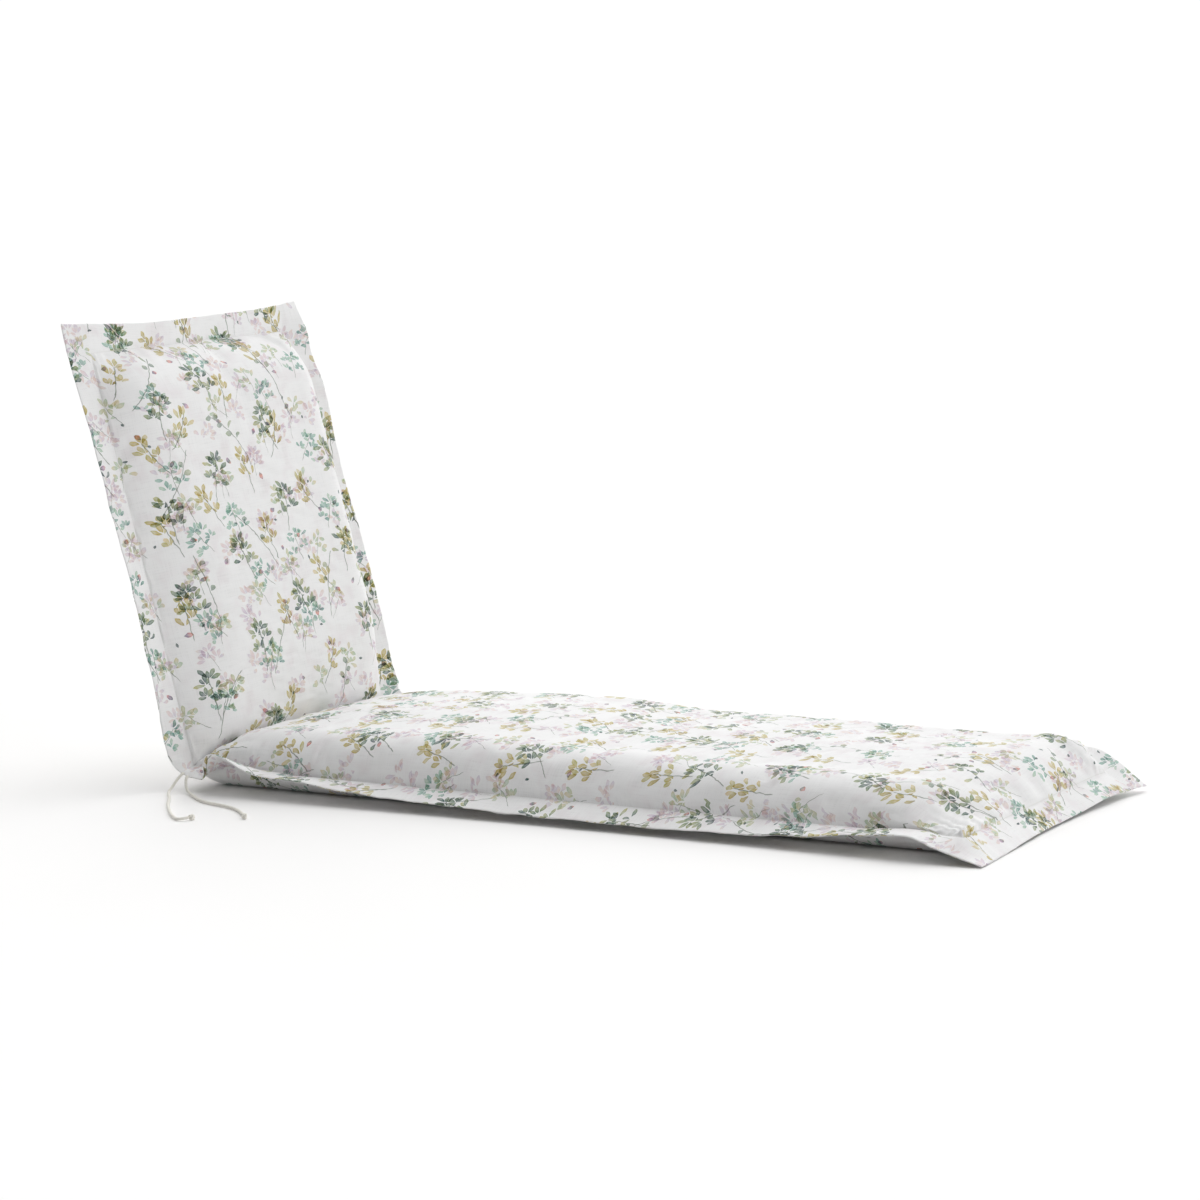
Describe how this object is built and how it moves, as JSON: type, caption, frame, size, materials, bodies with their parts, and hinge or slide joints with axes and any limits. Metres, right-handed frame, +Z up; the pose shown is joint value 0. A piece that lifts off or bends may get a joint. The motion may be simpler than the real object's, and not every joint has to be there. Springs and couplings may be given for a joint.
{
  "type": "sun lounger cushion",
  "caption": "Long padded cushion for a sun lounger, folded into a seat and an upright back, with a flat flange all round and a tie cord at the fold.",
  "frame": {"origin": "on the ground, in the middle of the footprint of the cushion without its ties", "axes": "+X along the seat, from the back towards the foot; +Y across it; +Z up"},
  "size_m": [1.4704, 0.7856, 0.6827],
  "materials": {
    "printed_cotton": "plain weave cotton with a small leaf print",
    "cord_cotton": "twisted cotton cord, undyed"
  },
  "bodies": {
    "root": {"cushion": "printed_cotton", "tie_left": "cord_cotton", "tie_right": "cord_cotton", "knot_left": "cord_cotton", "knot_right": "cord_cotton"}
  },
  "joints": []
}
